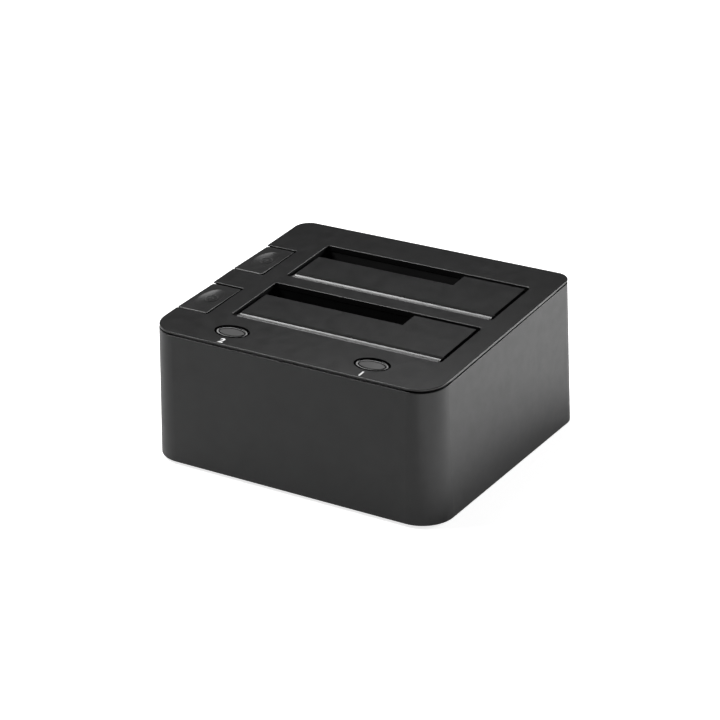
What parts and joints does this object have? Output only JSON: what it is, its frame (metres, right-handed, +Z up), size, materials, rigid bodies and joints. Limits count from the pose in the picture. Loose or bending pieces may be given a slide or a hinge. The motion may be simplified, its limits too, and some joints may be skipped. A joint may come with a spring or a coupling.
{
  "type": "hard drive docking station",
  "caption": "Desktop dock that holds two bare hard drives upright under sprung flaps, with eject pads, ring-lit power buttons and rear sockets.",
  "frame": {"origin": "on the table, under the middle of the case", "axes": "+X to the right, +Y to the back where the sockets are, +Z up"},
  "size_m": [0.1474, 0.1292, 0.0708],
  "materials": {
    "case_plastic": "satin black moulded plastic, finely textured",
    "cover_plastic": "finely textured black plastic",
    "gloss_black": "smooth black plastic",
    "inner_plastic": "plain black plastic",
    "lever_plastic": "natural acetal",
    "clear_plastic": "frosted light guide",
    "foot_rubber": "black rubber",
    "steel": "bright steel",
    "board_green": "solder mask on glass fibre",
    "contact_gold": "gold plated",
    "chip_epoxy": "black epoxy",
    "cable_grey": "grey vinyl",
    "tongue_blue": "blue plastic",
    "can_aluminium": "drawn can"
  },
  "bodies": {
    "dock": {"outer_shell": "case_plastic", "top_cover": "cover_plastic", "base_plate": "case_plastic", "foot_front_left": "foot_rubber", "foot_front_right": "foot_rubber", "foot_rear_left": "foot_rubber", "foot_rear_right": "foot_rubber", "main_board": "board_green", "board_chips": "chip_epoxy", "board_capacitors": "can_aluminium", "ribbon_header": "lever_plastic", "usb_port_shell": "steel", "usb_port_tongue": "tongue_blue", "dc_jack_body": "inner_plastic", "dc_jack_pin": "steel", "power_switch_body": "gloss_black", "light_ring_1": "clear_plastic", "light_ring_2": "clear_plastic", "button_board": "board_green", "tact_switches": "chip_epoxy", "status_leds": "clear_plastic", "button_board_screws": "steel", "ribbon_cable": "cable_grey", "case_screws": "steel", "well_screws": "steel", "drive_well_front": "inner_plastic", "flap_pin_front": "steel", "flap_spring_front": "steel", "lever_pin_front": "steel", "eject_spring_front": "steel", "sata_connector_front": "inner_plastic", "sata_contacts_front": "contact_gold", "drive_well_rear": "inner_plastic", "flap_pin_rear": "steel", "flap_spring_rear": "steel", "lever_pin_rear": "steel", "eject_spring_rear": "steel", "sata_connector_rear": "inner_plastic", "sata_contacts_rear": "contact_gold"},
    "flap_front": {"flap_front": "cover_plastic"},
    "eject_button_front": {"eject_button_front": "cover_plastic"},
    "eject_lever_front": {"eject_lever_front": "lever_plastic"},
    "flap_rear": {"flap_rear": "cover_plastic"},
    "eject_button_rear": {"eject_button_rear": "cover_plastic"},
    "eject_lever_rear": {"eject_lever_rear": "lever_plastic"},
    "power_button_1": {"power_button_1": "gloss_black"},
    "power_button_2": {"power_button_2": "gloss_black"},
    "power_rocker": {"power_switch_rocker": "gloss_black"}
  },
  "joints": [
    {"name": "flap_front_hinge", "type": "hinge", "parent": "dock", "child": "flap_front", "pos_m": [0.00743, -0.03264, 0.061], "axis": [-1, 0, 0], "range_deg": [0, 87], "stiffness_Nm_per_rad": 0.004, "springref_deg": -34.38, "deforming": ["flap_spring_front"]},
    {"name": "eject_front_press", "type": "slide", "parent": "dock", "child": "eject_button_front", "axis": [0, 0, -1], "range_m": [0, 0.004], "stiffness_N_per_m": 350, "springref_m": -0.002, "deforming": ["eject_spring_front"]},
    {"name": "eject_front_lever", "type": "hinge", "parent": "dock", "child": "eject_lever_front", "pos_m": [-0.05372, -0.01865, 0.018], "axis": [0, -1, 0], "range_deg": [0, 23]},
    {"name": "flap_rear_hinge", "type": "hinge", "parent": "dock", "child": "flap_rear", "pos_m": [0.00743, 0.01127, 0.06368], "axis": [-1, 0, 0], "range_deg": [0, 87], "stiffness_Nm_per_rad": 0.004, "springref_deg": -34.38, "deforming": ["flap_spring_rear"]},
    {"name": "eject_rear_press", "type": "slide", "parent": "dock", "child": "eject_button_rear", "axis": [0, 0, -1], "range_m": [0, 0.004], "stiffness_N_per_m": 350, "springref_m": -0.002, "deforming": ["eject_spring_rear"]},
    {"name": "eject_rear_lever", "type": "hinge", "parent": "dock", "child": "eject_lever_rear", "pos_m": [-0.05372, 0.02535, 0.018], "axis": [0, -1, 0], "range_deg": [0, 23]},
    {"name": "power_button_1_press", "type": "slide", "parent": "dock", "child": "power_button_1", "axis": [0, 0.061, -0.9981], "range_m": [0, 0.0006], "stiffness_N_per_m": 600, "springref_m": -0.0005},
    {"name": "power_button_2_press", "type": "slide", "parent": "dock", "child": "power_button_2", "axis": [0, 0.061, -0.9981], "range_m": [0, 0.0006], "stiffness_N_per_m": 600, "springref_m": -0.0005},
    {"name": "power_rocker_tilt", "type": "hinge", "parent": "dock", "child": "power_rocker", "pos_m": [0.044, 0.0592, 0.022], "axis": [-1, 0, 0], "range_deg": [0, 18]}
  ],
  "couplings": [
    {"joint": "eject_front_lever", "follows": "eject_front_press", "rad_per_m": 100},
    {"joint": "eject_rear_lever", "follows": "eject_rear_press", "rad_per_m": 100}
  ]
}
